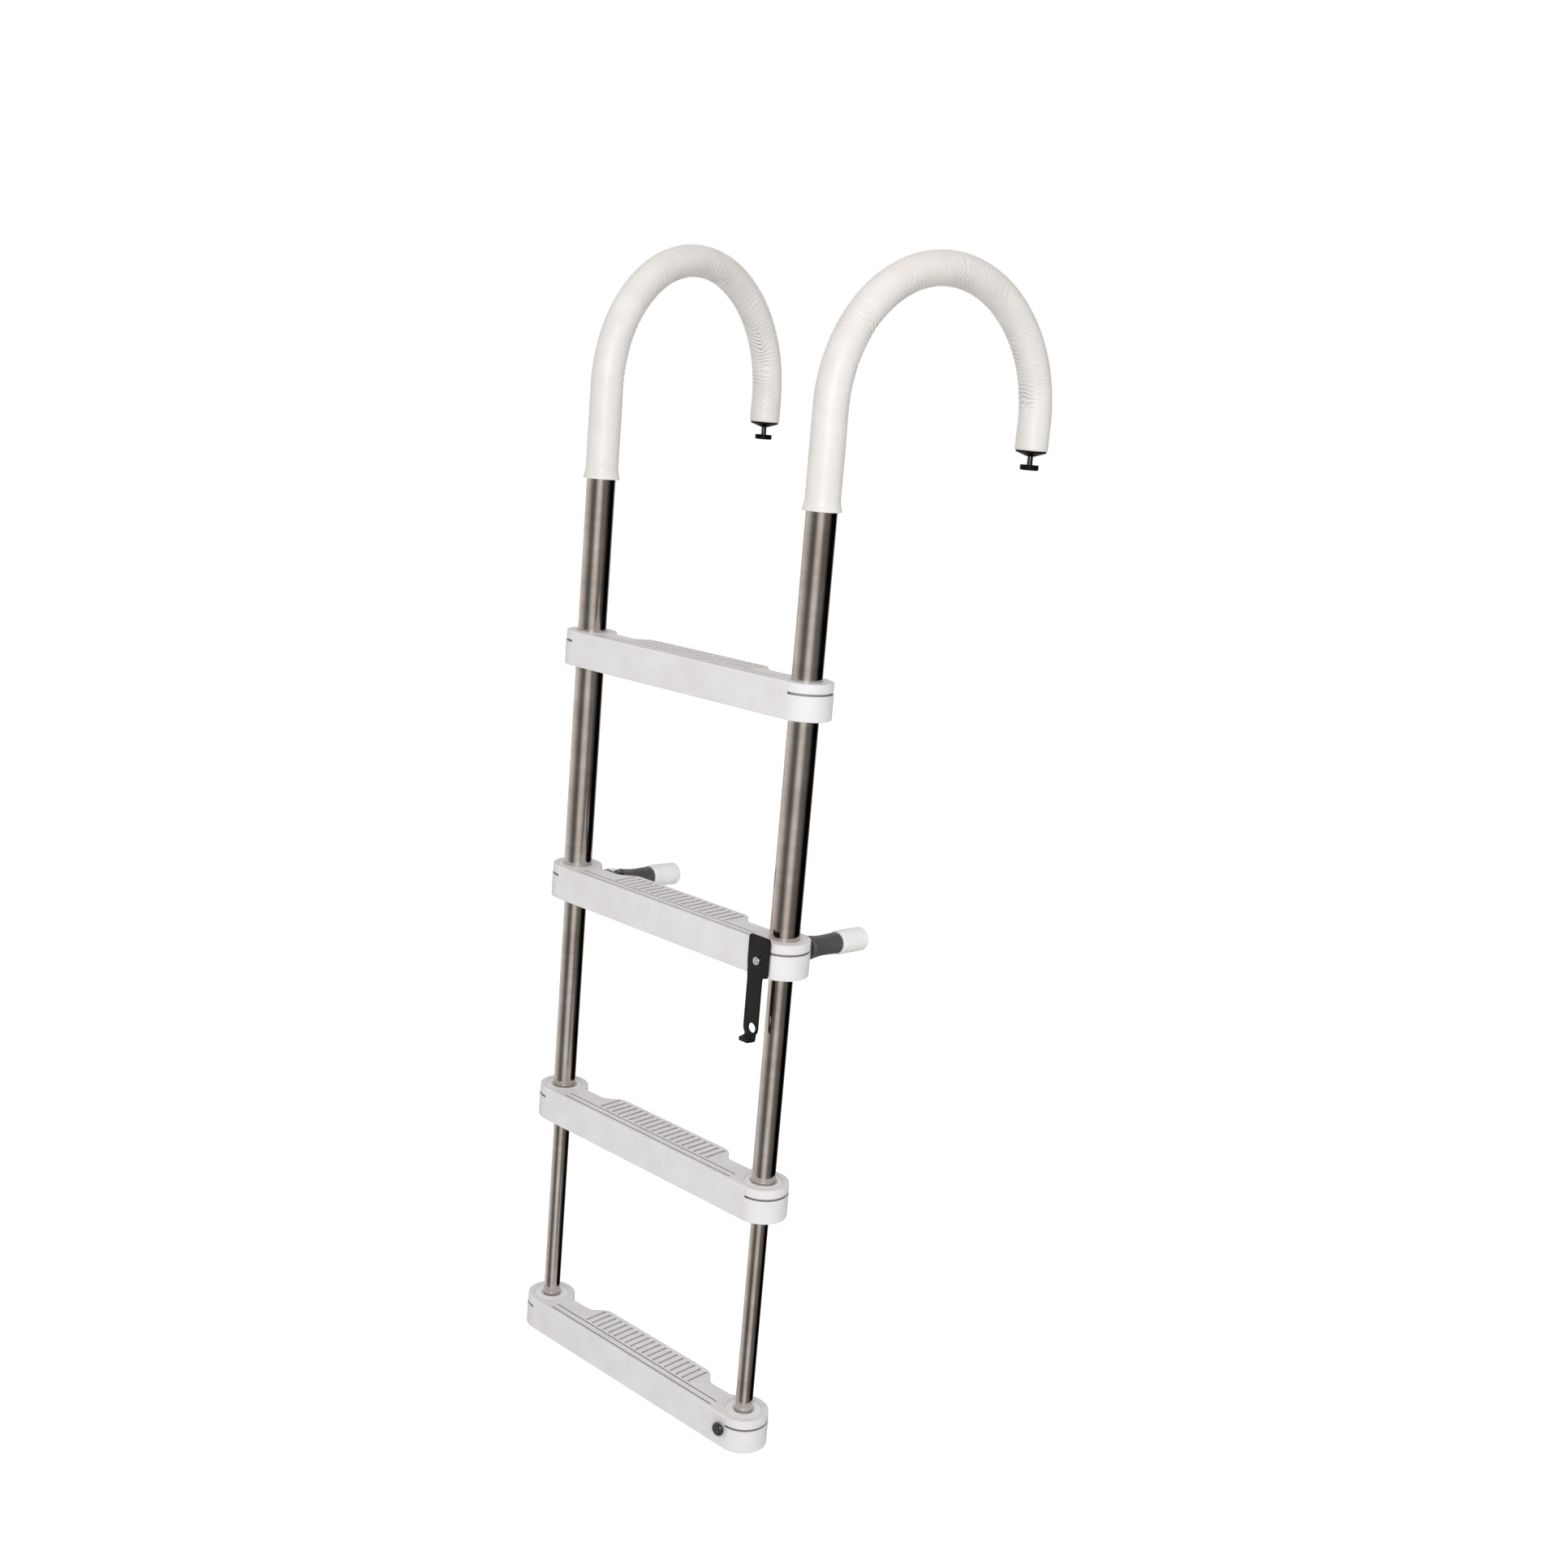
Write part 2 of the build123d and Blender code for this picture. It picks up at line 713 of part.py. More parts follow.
def make_strap_tail():
    """Hanging end of the strap, with the eyelet and a pull tab that turns outwards."""
    hinge_z = step_bottoms[1] - tail_thickness / 2 - body_gap
    end_z = eyelet_z - tail_width / 2
    face = front_plane(tail_x, 0).offset(tail_gap)
    with BuildPart() as tail:
        with BuildSketch(face):
            with Locations((0, (hinge_z + eyelet_z) / 2)):
                Rectangle(tail_width, hinge_z - eyelet_z)
            with Locations((0, eyelet_z)):
                Circle(tail_width / 2)
            with Locations((0, (eyelet_z + end_z - tab_drop) / 2)):
                Rectangle(tab_width, eyelet_z - end_z + tab_drop)
            with Locations((eyelet_x - tail_x, eyelet_z)):
                Circle(eyelet_radius, mode=Mode.SUBTRACT)
        extrude(amount=tail_thickness)
        with BuildSketch(face):
            with Locations((0, end_z + tab_height / 2 - tab_drop)):
                Rectangle(tab_width, tab_height)
        extrude(amount=tab_reach)
        with BuildSketch(Plane.YZ.offset(tail_x - tail_width / 2)):
            with Locations((front_y - tail_gap - tail_thickness / 2, hinge_z)):
                Circle(tail_thickness / 2)
        extrude(amount=tail_width)
    save(tail, "strap_tail")


def make_strap_screw():
    """Pan head screw that holds the strap."""
    z = step_tops[1] - strap_screw_drop
    with BuildPart() as screw:
        with BuildSketch(front_plane(strap_x, z).offset(-stud_shank_length)):
            Circle(screw_radius)
        extrude(amount=stud_shank_length + strap_thickness)
        with BuildSketch(front_plane(strap_x, z).offset(strap_thickness)):
            Circle(screw_head_radius)
        extrude(amount=screw_head_height)
        fillet(screw.edges().group_by(Axis.Y)[0], strap_screw_round)
    save(screw, "strap_screw")


def make_latch_stud():
    """Domed stud on the front of step 4 that the strap's eyelet buttons on to."""
    face = front_plane(stud_x, stud_z)
    with BuildPart() as stud:
        with BuildSketch(face.offset(-stud_shank_length)):
            Circle(screw_radius)
        extrude(amount=stud_shank_length)
        with BuildSketch(face):
            Circle(stud_neck_radius)
        extrude(amount=stud_neck_length)
        with BuildSketch(face.offset(stud_neck_length)):
            Circle(stud_head_radius)
        extrude(amount=stud_head_height)
        fillet(stud.edges().group_by(Axis.Y)[0], stud_head_round)
    save(stud, "latch_stud")


for number in range(1, 5):
    make_step(number, bushed=number > 2)
for number, inner in ((1, main_inner), (2, main_inner), (3, middle_inner), (4, lower_inner)):
    make_step_screws(number, inner)
for name, side in sides.items():
    make_hook_rail(name, side)
    make_hook_sleeve(name, side)
    make_hook_plug(name, side)
    make_hook_washer(name, side)
    make_button_stem(name, side)
    make_hook_button(name, side)
    step_3_mid = step_tops[2] - step_height / 2
    step_4_mid = step_tops[3] - step_height / 2
    make_straight_rail(name, side, "middle", middle_radius, middle_bottom, middle_top, step_3_mid)
    make_straight_rail(name, side, "lower", lower_radius, lower_bottom, lower_top, step_4_mid)
    make_guide(name, side, "middle", step_bottoms[1], main_radius, main_inner, middle_radius)
    make_guide(name, side, "lower", step_bottoms[2], middle_radius, middle_inner, lower_radius)
    make_stop(name, side, "middle", middle_stop_z, main_inner, middle_radius)
    make_stop(name, side, "lower", lower_stop_z, middle_inner, lower_radius)
    make_bushing(name, side, 3, middle_radius, step_bottoms[2])
    make_bushing(name, side, 4, lower_radius, step_bottoms[3] + flange_height)
    make_foot_plug(name, side)
    make_standoff_bracket(name, side)
    make_standoff_screw(name, side)
    make_standoff_pin(name, side)
    make_standoff_arm(name, side)
    make_standoff_tip(name, side)
make_strap_head()
make_strap_tail()
make_strap_screw()
make_latch_stud()
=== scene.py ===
"""Looks of the telescoping boat boarding ladder, in metres, in the frame of its CAD model."""
import json
from math import cos, pi, radians, sin

import bmesh
import bpy
from mathutils import Matrix, Vector, noise


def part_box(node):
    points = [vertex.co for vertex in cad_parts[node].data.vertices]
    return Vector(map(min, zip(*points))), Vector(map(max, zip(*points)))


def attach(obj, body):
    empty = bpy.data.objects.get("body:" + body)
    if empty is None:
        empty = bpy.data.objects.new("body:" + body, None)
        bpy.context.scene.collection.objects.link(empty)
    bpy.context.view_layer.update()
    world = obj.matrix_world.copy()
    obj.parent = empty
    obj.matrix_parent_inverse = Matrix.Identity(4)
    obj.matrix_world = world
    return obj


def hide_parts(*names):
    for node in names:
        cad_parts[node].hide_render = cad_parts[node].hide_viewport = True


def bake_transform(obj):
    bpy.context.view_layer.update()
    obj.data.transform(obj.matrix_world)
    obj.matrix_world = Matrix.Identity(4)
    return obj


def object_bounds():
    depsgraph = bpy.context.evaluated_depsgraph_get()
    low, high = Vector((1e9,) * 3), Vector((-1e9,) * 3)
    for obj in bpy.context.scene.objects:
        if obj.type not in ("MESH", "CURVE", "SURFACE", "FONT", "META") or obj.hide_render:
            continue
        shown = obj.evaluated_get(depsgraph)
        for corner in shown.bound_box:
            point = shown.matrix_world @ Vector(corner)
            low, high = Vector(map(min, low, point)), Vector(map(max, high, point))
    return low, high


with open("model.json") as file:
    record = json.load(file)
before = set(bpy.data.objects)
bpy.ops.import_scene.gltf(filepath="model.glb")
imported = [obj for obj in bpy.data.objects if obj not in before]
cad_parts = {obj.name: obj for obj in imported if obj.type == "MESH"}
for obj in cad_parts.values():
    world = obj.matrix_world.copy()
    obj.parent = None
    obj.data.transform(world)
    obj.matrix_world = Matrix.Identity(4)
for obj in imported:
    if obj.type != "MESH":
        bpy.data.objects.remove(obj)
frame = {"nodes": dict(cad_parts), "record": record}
cad_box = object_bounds()

nodes = frame["nodes"]
record = frame["record"]
slot_of = {part["node"]: part["material_slot"] for part in record["subparts"]}
wrinkle_seeds = {"port": -3.0, "starboard": 3.0}


# ---- places read from the frame
def middle(node):
    """Centre of a CAD node's box."""
    low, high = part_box(node)
    return (Vector(low) + Vector(high)) / 2


rail_axis = {side: middle(f"{side}_middle_rail") for side in wrinkle_seeds}
hook_axis = {side: middle(f"{side}_button_stem") for side in wrinkle_seeds}
# the gunwale line is at z = 0, halfway down through the sleeve over the crown
sleeve_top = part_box("starboard_hook_sleeve")[1][2]
sleeve_radius = sleeve_top / 2
plug_low, plug_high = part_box("port_foot_plug")
rail_radius = (plug_high[0] - plug_low[0]) / 2


# ---- materials
def new_material(name, **constants):
    """A material with its Principled shader. Constants go straight on the shader's own sockets."""
    material = bpy.data.materials.new(name)
    material.use_nodes = True
    shader = material.node_tree.nodes["Principled BSDF"]
    for socket, value in constants.items():
        shader.inputs[socket.replace("_", " ")].default_value = value
    return material, material.node_tree, shader


def add_node(tree, kind, **inputs):
    """A node with numbers set on its inputs. An underscore in a name stands for a space."""
    node = tree.nodes.new(kind)
    for name, value in inputs.items():
        node.inputs[name.replace("_", " ")].default_value = value
    return node


def object_coordinates(tree, scale=(1, 1, 1)):
    """Object coordinates in metres, stretched by scale."""
    place = tree.nodes.new("ShaderNodeTexCoord")
    mapping = add_node(tree, "ShaderNodeMapping", Scale=scale)
    tree.links.new(place.outputs["Object"], mapping.inputs["Vector"])
    return mapping.outputs["Vector"]


def noise_field(tree, size, detail=4.0, roughness=0.55, stretch=(1, 1, 1)):
    """Noise with features of a given size in metres."""
    field = add_node(tree, "ShaderNodeTexNoise", Scale=1 / size, Detail=detail, Roughness=roughness)
    tree.links.new(object_coordinates(tree, stretch), field.inputs["Vector"])
    return field.outputs["Fac"]


def ramp(tree, value, *stops):
    """Colour ramp from (position, colour) stops. A bare number is a grey."""
    node = tree.nodes.new("ShaderNodeValToRGB")
    elements = node.color_ramp.elements
    while len(elements) < len(stops):
        elements.new(0.5)
    for element, (position, colour) in zip(elements, stops):
        element.position = position
        grey = isinstance(colour, (int, float))
        element.color = (colour, colour, colour, 1) if grey else (*colour, 1)
    tree.links.new(value, node.inputs["Fac"])
    return node.outputs["Color"]


def feed(tree, sockets, values):
    """Links or numbers into a row of sockets."""
    for socket, value in zip(sockets, values):
        if isinstance(value, bpy.types.NodeSocket):
            tree.links.new(value, socket)
        else:
            socket.default_value = value


def blend_colours(tree, factor, first, second, mode="MIX"):
    """Mix of two colours."""
    node = tree.nodes.new("ShaderNodeMix")
    node.data_type = "RGBA"
    node.blend_type = mode
    # the colour inputs of this node are its seventh and eighth, and its colour output is the third
    feed(tree, (node.inputs["Factor"], node.inputs[6], node.inputs[7]), (factor, first, second))
    return node.outputs[2]


def multiply_colours(tree, first, second):
    """Product of two colours."""
    return blend_colours(tree, 1.0, first, second, "MULTIPLY")


def combine(tree, operation, first, second):
    """Math node on two values."""
    node = tree.nodes.new("ShaderNodeMath")
    node.operation = operation
    feed(tree, node.inputs, (first, second))
    return node.outputs[0]


def scaled(tree, value, factor):
    """Value times a number."""
    return combine(tree, "MULTIPLY", value, factor)


def bump(tree, shader, height, depth, strength=1.0):
    """Bump on a shader: depth in metres is what a height of 1 stands for."""
    node = add_node(tree, "ShaderNodeBump", Strength=strength, Distance=depth)
    tree.links.new(height, node.inputs["Height"])
    tree.links.new(node.outputs["Normal"], shader.inputs["Normal"])


def polished_stainless():
    """Drawn tube: streaks along it, smudges, hairline scratches and faint rings round it."""
    material, tree, shader = new_material("polished_stainless", Metallic=1.0)
    streaks = noise_field(tree, 0.0009, detail=3, stretch=(1, 1, 0.02))
    smudges = noise_field(tree, 0.045, detail=5, roughness=0.6)
    scratches = noise_field(tree, 0.0016, detail=6, roughness=0.7, stretch=(0.3, 0.3, 1.6))
    rings = noise_field(tree, 0.011, detail=5, roughness=0.7, stretch=(0.05, 0.05, 1))
    tone = ramp(tree, streaks, (0.3, (0.64, 0.61, 0.585)), (0.7, (0.76, 0.735, 0.71)))
    stained = ramp(tree, smudges, (0.35, (0.84, 0.80, 0.765)), (0.65, 1.0))
    banded = ramp(tree, rings, (0.38, (0.90, 0.88, 0.86)), (0.62, 1.0))
    colour = multiply_colours(tree, multiply_colours(tree, tone, stained), banded)
    tree.links.new(colour, shader.inputs["Base Color"])
    rough = ramp(tree, smudges, (0.3, 0.07), (0.7, 0.15))
    tree.links.new(rough, shader.inputs["Roughness"])
    texture = combine(tree, "ADD", scaled(tree, scratches, 0.35), scaled(tree, rings, 1.5))
    bump(tree, shader, combine(tree, "ADD", streaks, texture), 0.000014, 0.6)
    return material


def turned_steel(name, dark, light):
    """Turned and tumbled steel of the small parts, between a dark and a light colour."""
    material, tree, shader = new_material(name, Metallic=1.0)
    grain = noise_field(tree, 0.0007, detail=6, roughness=0.7)
    stains = noise_field(tree, 0.004, detail=4)
    tree.links.new(ramp(tree, stains, (0.3, dark), (0.7, light)), shader.inputs["Base Color"])
    tree.links.new(ramp(tree, grain, (0.3, 0.10), (0.7, 0.22)), shader.inputs["Roughness"])
    bump(tree, shader, grain, 0.00002, 0.5)
    return material


def plastic(name, dark, light, roughness, grain_size, grain_depth, scuff, creases=None, **constants):
    """Moulded plastic or rubber: fine grain, slow drift of colour, scuffs, and painted shade in its
    creases.
    """
    material, tree, shader = new_material(name, **constants)
    drift = noise_field(tree, 0.03, detail=3)
    grain = noise_field(tree, grain_size, detail=4, roughness=0.6)
    marks = noise_field(tree, 0.006, detail=8, roughness=0.75, stretch=(0.35, 1, 1))
    base = ramp(tree, drift, (0.3, dark), (0.7, light))
    rubbed = ramp(tree, marks, (0.60, 0.0), (0.72, 1.0))
    colour = blend_colours(tree, scaled(tree, rubbed, 0.35), base, (*scuff, 1))
    # painted shade in the folds and a painted highlight on their ridges, both from the mesh's pointiness
    if creases == "folds":
        shape = tree.nodes.new("ShaderNodeNewGeometry")
        painted_shading = ramp(
            tree, shape.outputs["Pointiness"],
            (0.44, 0.42), (0.495, 0.97), (0.53, 1.0), (0.56, 1.06),
        )
        colour = multiply_colours(tree, colour, painted_shading)
    # painted shade in grooves, hollows and where parts meet, from an ambient occlusion node
    if creases == "grooves":
        hollow = add_node(tree, "ShaderNodeAmbientOcclusion", Distance=0.004)
        hollow.samples = 8
        painted_shading = ramp(
            tree, hollow.outputs["AO"],
            (0.25, (0.22, 0.20, 0.18)), (0.60, (0.86, 0.85, 0.84)), (0.85, 1.0),
        )
        colour = multiply_colours(tree, colour, painted_shading)
    tree.links.new(colour, shader.inputs["Base Color"])
    low, high = roughness
    rough = combine(tree, "ADD", ramp(tree, grain, (0.3, low), (0.7, high)), scaled(tree, rubbed, 0.08))
    tree.links.new(rough, shader.inputs["Roughness"])
    bump(tree, shader, combine(tree, "ADD", grain, scaled(tree, marks, 0.4)), grain_depth)
    return material


def make_materials():
    """Materials by slot, and two more for pieces that are darker in the photo than their slot."""
    return {
        "polished_stainless": polished_stainless(),
        "fastener_steel": turned_steel("fastener_steel", (0.70, 0.69, 0.67), (0.90, 0.89, 0.88)),
        "dark_steel": turned_steel("dark_steel", (0.09, 0.088, 0.085), (0.16, 0.157, 0.152)),
        "white_vinyl": plastic(
            "white_vinyl", (0.765, 0.725, 0.69), (0.825, 0.79, 0.76), (0.36, 0.46), 0.0012, 0.00005,
            (0.70, 0.66, 0.61), creases="folds",
            Specular_IOR_Level=0.45, Coat_Weight=0.12, Coat_Roughness=0.3,
        ),
        "step_plastic": plastic(
            "step_plastic", (0.745, 0.715, 0.725), (0.80, 0.78, 0.785), (0.44, 0.56), 0.0007, 0.00008,
            (0.62, 0.59, 0.59), creases="grooves", Specular_IOR_Level=0.4,
        ),
        "white_nylon": plastic(
            "white_nylon", (0.80, 0.79, 0.78), (0.88, 0.875, 0.87), (0.34, 0.46), 0.0009, 0.00004,
            (0.7, 0.69, 0.67), Specular_IOR_Level=0.5,
        ),
        "black_nylon": plastic(
            "black_nylon", (0.072, 0.072, 0.069), (0.098, 0.098, 0.094), (0.40, 0.52), 0.0006, 0.00006,
            (0.14, 0.138, 0.132), Specular_IOR_Level=0.4,
        ),
        "black_button": plastic(
            "black_button", (0.003, 0.003, 0.003), (0.006, 0.006, 0.006), (0.36, 0.48), 0.0006, 0.00006,
            (0.02, 0.019, 0.018), Specular_IOR_Level=0.08,
        ),
        "white_rubber": plastic(
            "white_rubber", (0.82, 0.815, 0.80), (0.90, 0.895, 0.885), (0.5, 0.62), 0.0008, 0.00008,
            (0.6, 0.58, 0.55), Specular_IOR_Level=0.35,
        ),
        "black_rubber": plastic(
            "black_rubber", (0.005, 0.005, 0.0045), (0.011, 0.0105, 0.0095), (0.42, 0.56), 0.0005, 0.00008,
            (0.05, 0.048, 0.042), Specular_IOR_Level=0.35,
        ),
    }


materials = make_materials()


def dress(piece, material_slot, *replaced):
    """Material, slot and replaced nodes of a piece made here."""
    piece.data.materials.clear()
    piece.data.materials.append(materials[material_slot])
    for face in piece.data.polygons:
        face.use_smooth = True
    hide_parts(*replaced)


def new_piece(name, mesh_builder):
    """Object with the mesh of a bmesh."""
    mesh = bpy.data.meshes.new(name)
    mesh_builder.to_mesh(mesh)
    mesh_builder.free()
    piece = bpy.data.objects.new(name, mesh)
    bpy.context.scene.collection.objects.link(piece)
    return piece


# ---- CAD nodes: the material of their slot, apart from a few that the photo shows darker
for name, node in nodes.items():
    look = slot_of[name]
    if name.endswith(("hook_washer", "hook_button")):
        look = "black_button"
    if name.endswith(("button_stem", "latch_stud")):
        look = "dark_steel"
    node.data.materials.clear()
    node.data.materials.append(materials[look])


# ---- hook sleeves
wrinkle_pitch = 0.0052
wrinkle_depth = 0.0012
wrinkle_reach = 0.03          # how far the wrinkles run on past the bend
wrinkle_fade = 0.05           # length over which they fade
cuff_length = 0.011
cuff_flare = 0.0026
lip_length = 0.0012
lip_roundness = 0.0007
sleeve_relief = 0.0001        # keeps the surface inside the CAD sleeve
bore_gap = 0.00005
ring_step = 0.0011
around = 72
plug_insert = 0.020           # the part of the plug that is in the tube
z_axis = Vector((0, 0, 1))


def clamp(value):
    """Value held between 0 and 1."""
    return min(1.0, max(0.0, value))


def hook_curve(side):
    """Centre line of a hook: place and inward normal at a length s, and the lengths of its three runs."""
    rail = rail_axis[side]
    leg = hook_axis[side]
    flat = Vector((leg.x - rail.x, leg.y - rail.y, 0))
    radius = flat.length / 2
    along = flat.normalized()
    bend_z = sleeve_top - sleeve_radius - radius
    low_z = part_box(f"{side}_hook_sleeve")[0][2]
    tip_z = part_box(f"{side}_hook_plug")[1][2] - plug_insert
    start = Vector((rail.x, rail.y, 0))
    rise = bend_z - low_z
    bend = pi * radius
    drop = bend_z - tip_z

    def at(s):
        if s < rise:
            return start + z_axis * (low_z + s), along
        if s < rise + bend:
            turn = (s - rise) / radius
            centre = start + along * radius + z_axis * bend_z
            inward = along * cos(turn) - z_axis * sin(turn)
            return centre - inward * radius, inward
        left = s - rise - bend
        return start + along * 2 * radius + z_axis * (bend_z - left), -along

    return at, rise, bend, drop


def wrinkle(s, angle, bend_share, seed):
    """Inward dents of the vinyl, deepest on the inside of the bend."""
    inside = max(0.0, cos(angle)) ** 1.5
    # each noise has its own coarseness along the sleeve and round it
    wander = noise.noise(Vector((s * 45, cos(angle) * 1.5, sin(angle) * 1.5 + seed)))
    phase = s / wrinkle_pitch + 1.5 * wander
    fold = 0.5 + 0.5 * sin(2 * pi * phase)
    patchy = max(0.1, 0.5 + 0.9 * noise.noise(Vector((s * 30, cos(angle), sin(angle) + seed + 7))))
    ripple = 0.25 * noise.noise(Vector((s * 110, cos(angle) * 2, sin(angle) * 2 + seed)))
    return wrinkle_depth * (bend_share * (0.5 + 0.7 * inside) * fold * patchy - 0.3 * ripple)


def make_sleeve(side):
    """Vinyl sleeve that follows the hook, with a flared cuff on the long leg and a bore for the rail."""
    at, rise, bend, drop = hook_curve(side)
    total = rise + bend + drop
    rings = int(total / ring_step)
    seed = wrinkle_seeds[side]
    builder = bmesh.new()
    binormal = at(0)[1].cross(z_axis)
    angles = [2 * pi * j / around for j in range(around)]

    def add_ring(s, radii):
        point, inward = at(s)
        ring = []
        for angle, radius in zip(angles, radii):
            out = inward * cos(angle) + binormal * sin(angle)
            ring.append(builder.verts.new(point + out * radius))
        return ring

    grid = []
    for i in range(rings + 1):
        s = total * i / rings
        growing = clamp((s - rise + wrinkle_reach) / wrinkle_fade)
        fading = clamp((rise + bend + wrinkle_reach - s) / wrinkle_fade)
        bend_share = growing * fading
        flare = cuff_flare * max(0.0, 1 - s / cuff_length) ** 1.5
        lip = min(1.0, s / lip_length, (total - s) / lip_length)
        lip_round = lip_roundness * (1 - (1 - (1 - lip) ** 2) ** 0.5)
        radii = [
            sleeve_radius - wrinkle(s, angle, bend_share, seed) + flare - lip_round - sleeve_relief
            for angle in angles
        ]
        grid.append(add_ring(s, radii))
    # the bore is seen only at the cuff, so it ends an eighth of the way along
    bore_rings = rings // 8
    for i in range(bore_rings, -1, -1):
        grid.append(add_ring(total * i / bore_rings, [rail_radius + bore_gap] * around))
    grid.append(grid[0])
    for lower, upper in zip(grid, grid[1:]):
        for j in range(around):
            k = (j + 1) % around
            builder.faces.new((lower[j], lower[k], upper[k], upper[j]))
    bmesh.ops.recalc_face_normals(builder, faces=builder.faces)
    piece = new_piece(f"{side}_vinyl_sleeve", builder)
    dress(piece, "white_vinyl", f"{side}_hook_sleeve")
    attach(piece, "upper_section")


for side in wrinkle_seeds:
    make_sleeve(side)


# ---- retaining strap: one length of moulded rubber from its head to its pull tab
strap_edge = 0.0006           # rounding of its edges
strap_corner = 0.0035         # rounding of its head's corners
strap_shoulder = 0.004        # from the head's lower end up to the centre of its lower corner
neck_out, neck_up = 0.0006, 0.0002
neck_length = 0.003           # from the head's lower end down to the tail's straight edges
strap_flank = 0.016           # height of the head's slanting left edge
tab_lap = 0.001               # overlap of the flat outline and the pull tab
tab_drop = 0.0045
tab_half = 0.007
tab_height = 0.006
tab_gap = 0.0004              # keeps the tab's root inside the strap's thickness
tab_thinning, tab_narrowing = 0.25, 0.12
eyelet_radius = 0.0046
eyelet_offset = 0.0019        # of the eyelet from the middle of the tail
weld_distance = 0.00001
strap_voxel = 0.0005
strap_press = 0.008           # height over which the head comes back to lie on step 2


def arc(centre, radius, start, end, count):
    """Points along an arc from one angle to another, in degrees."""
    turns = [radians(start + (end - start) * i / count) for i in range(count + 1)]
    return [(centre[0] + radius * cos(turn), centre[1] + radius * sin(turn)) for turn in turns]


def add_loop(outline, points):
    """Closed loop of straight runs in a flat curve."""
    spline = outline.splines.new("POLY")
    spline.points.add(len(points) - 1)
    for target, (u, v) in zip(spline.points, points):
        target.co = (u, v, 0, 1)
    spline.use_cyclic_u = True


def strap_outline(head, tail):
    """Flat outline of the strap in x and z, with its eyelet, as a curve with rounded edges."""
    outline = bpy.data.curves.new("strap_outline", "CURVE")
    outline.dimensions = "2D"
    outline.fill_mode = "BOTH"
    outline.extrude = (head[1][1] - head[0][1]) / 2 - strap_edge
    outline.bevel_depth = strap_edge
    outline.bevel_resolution = 3
    outline.offset = -strap_edge
    left, right, top, shoulder = head[0][0], head[1][0], head[1][2], head[0][2]
    tail_left, tail_right, tail_low = tail[0][0], tail[1][0], tail[0][2]
    tail_x = (tail_left + tail_right) / 2
    tail_half = (tail_right - tail_left) / 2
    eyelet_z = tail_low + tab_drop + tail_half
    points = arc((right - strap_corner, top - strap_corner), strap_corner, 90, 0, 6)
    low_corner = shoulder + strap_shoulder
    points += arc((right - strap_corner, low_corner), strap_corner, 0, -70, 6)
    points += [(tail_right + neck_out, shoulder + neck_up), (tail_right, shoulder - neck_length)]
    points += arc((tail_x, eyelet_z), tail_half, 0, -42, 10)
    points += [(tail_x + tab_half, tail_low + tab_lap), (tail_x - tab_half, tail_low + tab_lap)]
    points += arc((tail_x, eyelet_z), tail_half, 222, 180, 10)
    points += [(tail_left, shoulder - neck_length), (left, shoulder + strap_flank)]
    points += arc((left + strap_corner, top - strap_corner), strap_corner, 180, 90, 6)
    add_loop(outline, points)
    add_loop(outline, arc((tail_x + eyelet_offset, eyelet_z), eyelet_radius + strap_edge, 0, 345, 23))
    return outline


def applied(piece):
    """Mesh of an object with its modifiers applied."""
    bpy.context.view_layer.update()
    return bpy.data.meshes.new_from_object(piece.evaluated_get(bpy.context.evaluated_depsgraph_get()))


def make_strap():
    """Strap in one piece: its head lies on step 2, and below that it bends back to where the CAD tail
    hangs.
    """
    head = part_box("strap_head")
    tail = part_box("strap_tail")
    back = tail[1][1]
    front = back - (head[1][1] - head[0][1])
    carrier = bpy.data.objects.new("strap_outline", strap_outline(head, tail))
    bpy.context.scene.collection.objects.link(carrier)
    flat = applied(carrier)
    bpy.data.objects.remove(carrier)
    # the outline's x and y become the strap's x and z
    flat.transform(Matrix(((1, 0, 0, 0), (0, 0, -1, (front + back) / 2), (0, 1, 0, 0), (0, 0, 0, 1))))
    builder = bmesh.new()
    builder.from_mesh(flat)
    bmesh.ops.remove_doubles(builder, verts=builder.verts, dist=weld_distance)
    # the pull tab turns outwards, and gets a little thinner and narrower towards its end
    tab_front, tail_low = tail[0][1], tail[0][2]
    tail_x = (tail[0][0] + tail[1][0]) / 2
    for corner in bmesh.ops.create_cube(builder, size=1.0)["verts"]:
        reach = 0.5 - corner.co.y
        thickness = tab_height * (1 - tab_thinning * reach)
        corner.co = (
            tail_x + corner.co.x * 2 * tab_half * (1 - tab_narrowing * reach),
            back - tab_gap - reach * (back - tab_front - tab_gap),
            tail_low + tab_height / 2 + corner.co.z * thickness,
        )
    piece = new_piece("rubber_strap", builder)
    remesh = piece.modifiers.new("remesh", "REMESH")
    remesh.mode = "VOXEL"
    remesh.voxel_size = strap_voxel
    smooth = piece.modifiers.new("smooth", "SMOOTH")
    smooth.iterations = 4
    dense = applied(piece)
    piece.modifiers.clear()
    piece.data = dense
    # the head lies flat on step 2, and the tail hangs just clear of the steps below
    for vertex in dense.vertices:
        vertex.co.y += (head[1][1] - back) * clamp((vertex.co.z - head[0][2]) / strap_press)
    dress(piece, "black_rubber", "strap_head", "strap_tail")
    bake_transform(piece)


make_strap()


# ---- stage, light and camera
camera_angles = (42.2037, 12.4955, 4.8932)      # azimuth, elevation and roll, in degrees
camera_place = (1.35409, -1.47770, -0.1027)
camera_lens = 41.84
camera_sensor = 36
floor_drop = 0.25
floor_size = 14
floor_glow = 0.55
light_target = Vector((0, -0.1, -0.6))
key_place = Vector((1.7, -2.1, 0.35))
key_size = 1.1
key_power = 26
white = (1, 1, 1, 1)
panel_tint = (1.0, 0.95, 0.905)
sky_axis = Vector((0.75, -0.64, 0.42))


